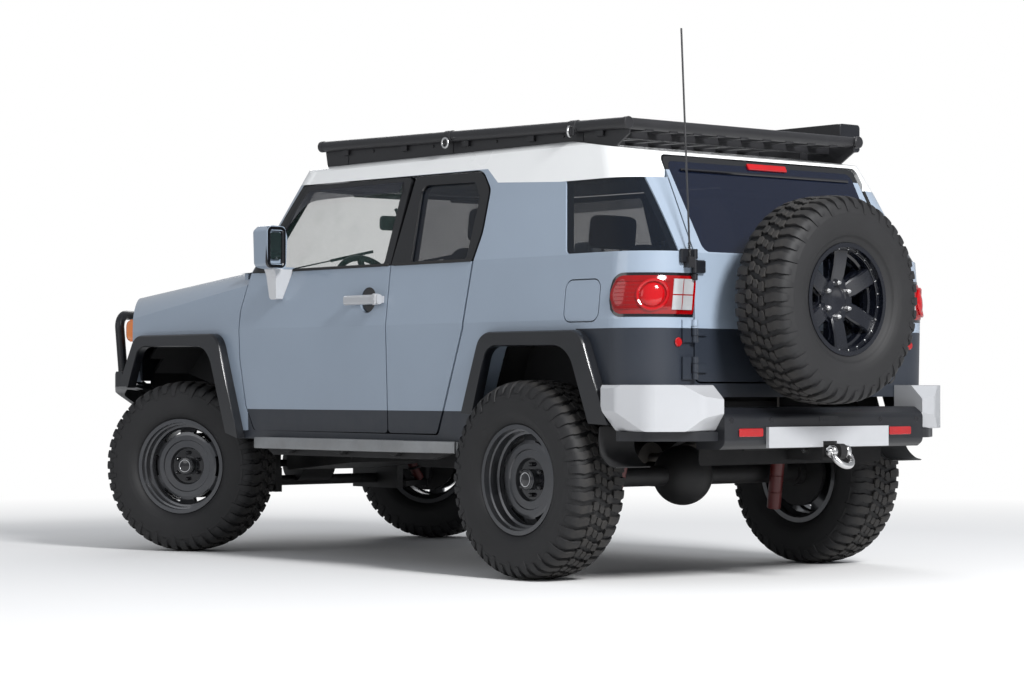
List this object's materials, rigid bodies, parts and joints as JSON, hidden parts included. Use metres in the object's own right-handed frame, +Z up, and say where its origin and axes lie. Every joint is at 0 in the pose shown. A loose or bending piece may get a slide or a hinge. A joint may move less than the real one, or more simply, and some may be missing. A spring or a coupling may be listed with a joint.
{
  "type": "lifted off-road 4x4",
  "caption": "Boxy off-road 4x4 on raised suspension with mud tyres, roof rack, awning case, side steps and a rear-mounted spare wheel.",
  "frame": {"origin": "on the ground, under the middle of the overall length and width", "axes": "+X to the vehicle's left, +Y to its rear, +Z up"},
  "size_m": [2.2644, 4.674, 2.2623],
  "materials": {
    "body_paint": "blue-grey gloss paint",
    "roof_paint": "white gloss paint",
    "black_paint": "satin black coating",
    "clear_glass": "light green tint",
    "dark_glass": "dark privacy tint",
    "dark_plastic": "grained dark grey",
    "black_plastic": "grained black",
    "silver_paint": "silver paint",
    "red_lens": "red and clear lens",
    "clear_lens": "clear and orange lens",
    "tyre": "black rubber",
    "rim": "gunmetal paint",
    "spare_rim": "black paint",
    "frame_steel": "black chassis paint",
    "cast_iron": "cast metal",
    "steel": "bare steel",
    "bright_steel": "zinc plated steel",
    "cloth": "dark woven cloth",
    "cabin_plastic": "dark cabin plastic"
  },
  "bodies": {
    "vehicle": {"antenna": "black_plastic", "arch_flares": "dark_plastic", "arch_liners": "black_plastic", "awning_case": "black_paint", "body_shell": "body_paint", "bumper_corners": "silver_paint", "cabin_chairs": "cloth", "chassis_frame": "frame_steel", "dashboard": "cabin_plastic", "engine_and_gearbox": "cast_iron", "exhaust": "steel", "floor_pan": "frame_steel", "front_bumper": "black_plastic", "front_fenders": "body_paint", "front_lamps": "clear_lens", "front_suspension": "frame_steel", "fuel_tank": "black_plastic", "grille_panel": "black_plastic", "propeller_shaft": "steel", "quarter_glass": "dark_glass", "rear_axle": "frame_steel", "rear_bumper": "black_plastic", "rear_suspension": "frame_steel", "roof_panel": "roof_paint", "roof_rack": "black_paint", "side_steps": "silver_paint", "tail_lamps": "red_lens", "tow_hitch": "frame_steel", "windscreen": "clear_glass"},
    "front_door_left_body": {"front_door_left": "body_paint", "front_glass_left": "clear_glass", "mirror_left": "black_plastic", "door_handle_left": "bright_steel"},
    "rear_door_left_body": {"rear_door_left": "body_paint", "rear_glass_left": "dark_glass"},
    "knuckle_left_body": {"knuckle_left": "cast_iron"},
    "front_left_wheel": {"front_left_rim": "rim", "front_left_tyre": "tyre"},
    "rear_left_wheel": {"rear_left_rim": "rim", "rear_left_tyre": "tyre"},
    "front_door_right_body": {"front_door_right": "body_paint", "front_glass_right": "clear_glass", "mirror_right": "black_plastic", "door_handle_right": "bright_steel"},
    "rear_door_right_body": {"rear_door_right": "body_paint", "rear_glass_right": "dark_glass"},
    "knuckle_right_body": {"knuckle_right": "cast_iron"},
    "front_right_wheel": {"front_right_rim": "rim", "front_right_tyre": "tyre"},
    "rear_right_wheel": {"rear_right_rim": "rim", "rear_right_tyre": "tyre"},
    "back_door_body": {"back_door": "body_paint", "back_glass": "dark_glass", "spare_carrier": "black_paint", "spare_rim": "spare_rim", "spare_tyre": "tyre"},
    "bonnet_body": {"bonnet": "body_paint"},
    "fuel_flap_body": {"fuel_flap": "body_paint"},
    "steering_wheel_body": {"steering_wheel": "cabin_plastic"}
  },
  "joints": [
    {"name": "steer_left", "type": "hinge", "parent": "vehicle", "child": "knuckle_left_body", "pos_m": [0.7, -1.445, 0.417], "axis": [0, 0, 1], "range_deg": [-60.3, 3.7]},
    {"name": "steer_right", "type": "hinge", "parent": "vehicle", "child": "knuckle_right_body", "pos_m": [-0.7, -1.445, 0.417], "axis": [0, 0, 1], "range_deg": [-60.3, 3.7]},
    {"name": "steering_wheel_turn", "type": "hinge", "parent": "vehicle", "child": "steering_wheel_body", "pos_m": [0.37, -0.545, 1.262], "axis": [0, 0.9207, 0.3903], "range_deg": [-905.5, 56.5]},
    {"name": "front_left_wheel_spin", "type": "hinge", "parent": "knuckle_left_body", "child": "front_left_wheel", "pos_m": [0.82679, -1.37673, 0.417], "axis": [0.8805, 0.4741, 0], "continuous": true},
    {"name": "rear_left_wheel_spin", "type": "hinge", "parent": "vehicle", "child": "rear_left_wheel", "pos_m": [0.844, 1.245, 0.417], "axis": [1, 0, 0], "continuous": true},
    {"name": "front_right_wheel_spin", "type": "hinge", "parent": "knuckle_right_body", "child": "front_right_wheel", "pos_m": [-0.82679, -1.51327, 0.417], "axis": [0.8805, 0.4741, 0], "continuous": true},
    {"name": "rear_right_wheel_spin", "type": "hinge", "parent": "vehicle", "child": "rear_right_wheel", "pos_m": [-0.844, 1.245, 0.417], "axis": [1, 0, 0], "continuous": true},
    {"name": "front_door_left_swing", "type": "hinge", "parent": "vehicle", "child": "front_door_left_body", "pos_m": [0.902, -0.865, 0.95], "axis": [0, 0, -1], "range_deg": [0, 62]},
    {"name": "rear_door_left_swing", "type": "hinge", "parent": "vehicle", "child": "rear_door_left_body", "pos_m": [0.902, 0.873, 0.95], "axis": [0, 0, 1], "range_deg": [0, 82]},
    {"name": "front_door_right_swing", "type": "hinge", "parent": "vehicle", "child": "front_door_right_body", "pos_m": [-0.902, -0.865, 0.95], "axis": [0, 0, 1], "range_deg": [0, 62]},
    {"name": "rear_door_right_swing", "type": "hinge", "parent": "vehicle", "child": "rear_door_right_body", "pos_m": [-0.902, 0.873, 0.95], "axis": [0, 0, -1], "range_deg": [0, 82]},
    {"name": "back_door_swing", "type": "hinge", "parent": "vehicle", "child": "back_door_body", "pos_m": [0.62, 1.956, 0.95], "axis": [0, 0, -1], "range_deg": [0, 88]},
    {"name": "bonnet_lift", "type": "hinge", "parent": "vehicle", "child": "bonnet_body", "pos_m": [0, -0.967, 1.392], "axis": [-1, 0, 0], "range_deg": [0, 50]},
    {"name": "fuel_flap_swing", "type": "hinge", "parent": "vehicle", "child": "fuel_flap_body", "pos_m": [0.903, 1.471, 1.157], "axis": [0, 0, -1], "range_deg": [0, 85]}
  ],
  "couplings": [
    {"joint": "steer_right", "follows": "steer_left", "ratio": 1},
    {"joint": "steering_wheel_turn", "follows": "steer_left", "ratio": 15}
  ]
}
